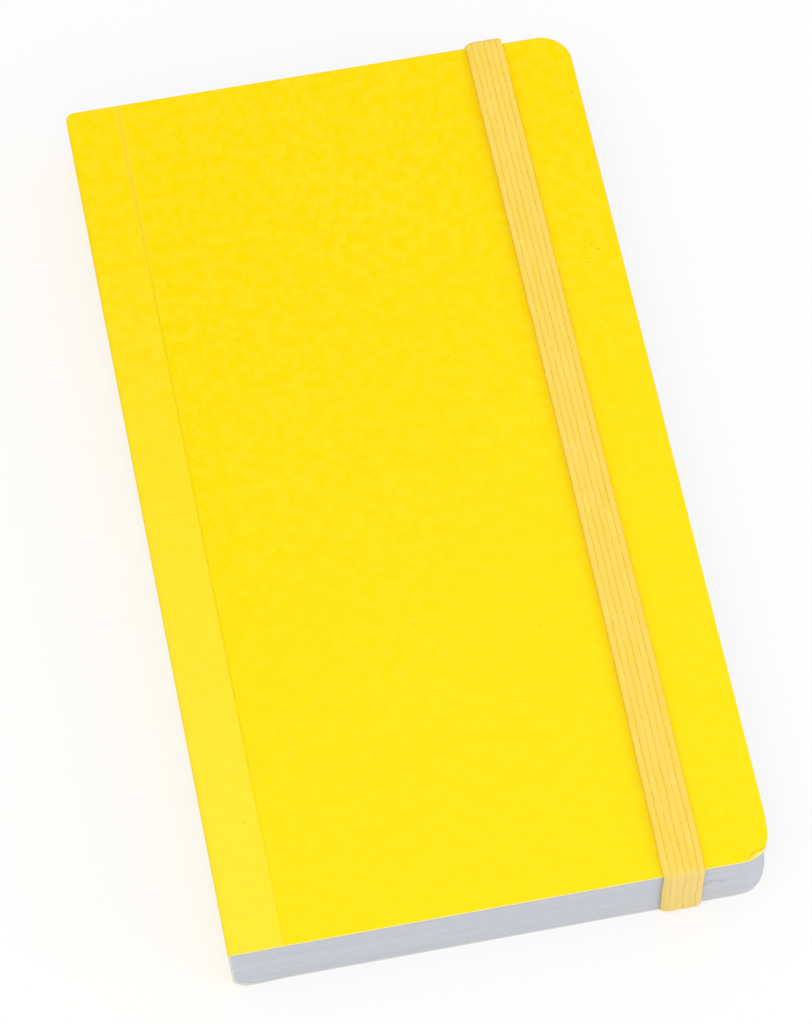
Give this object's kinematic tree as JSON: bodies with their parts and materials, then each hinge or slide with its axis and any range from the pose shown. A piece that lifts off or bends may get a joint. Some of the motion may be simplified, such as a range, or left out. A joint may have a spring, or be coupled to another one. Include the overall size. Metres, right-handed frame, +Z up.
{
  "type": "notebook insert",
  "caption": "Closed soft-cover pocket notebook insert with trimmed round corners, covers scored beside the spine and a corded elastic closure band.",
  "frame": {"origin": "middle of the overall box in plan, on the resting face of the rear cover", "axes": "+X from the spine to the fore-edge, +Y from the tail to the head, +Z up through the front cover"},
  "size_m": [0.095, 0.1732, 0.0156],
  "materials": {
    "pages": "matte cut paper edges",
    "cover_card": "matte coated card, bright yellow",
    "spine_card": "matte coated card, slightly paler beside the score",
    "band": "woven cover over rubber cords"
  },
  "bodies": {
    "block": {"page_block": "pages", "spine_wrap": "spine_card"},
    "front": {"front_cover": "cover_card"},
    "rear": {"rear_cover": "cover_card", "elastic_band": "band"}
  },
  "joints": [
    {"name": "front_cover_hinge", "type": "hinge", "parent": "block", "child": "front", "pos_m": [-0.0379, 0, 0.01455], "axis": [0, -1, 0], "range_deg": [0, 180], "deforming": ["elastic_band"]},
    {"name": "rear_cover_hinge", "type": "hinge", "parent": "block", "child": "rear", "pos_m": [-0.0379, 0, -0.00005], "axis": [0, 1, 0], "range_deg": [0, 180], "deforming": ["elastic_band"]}
  ]
}
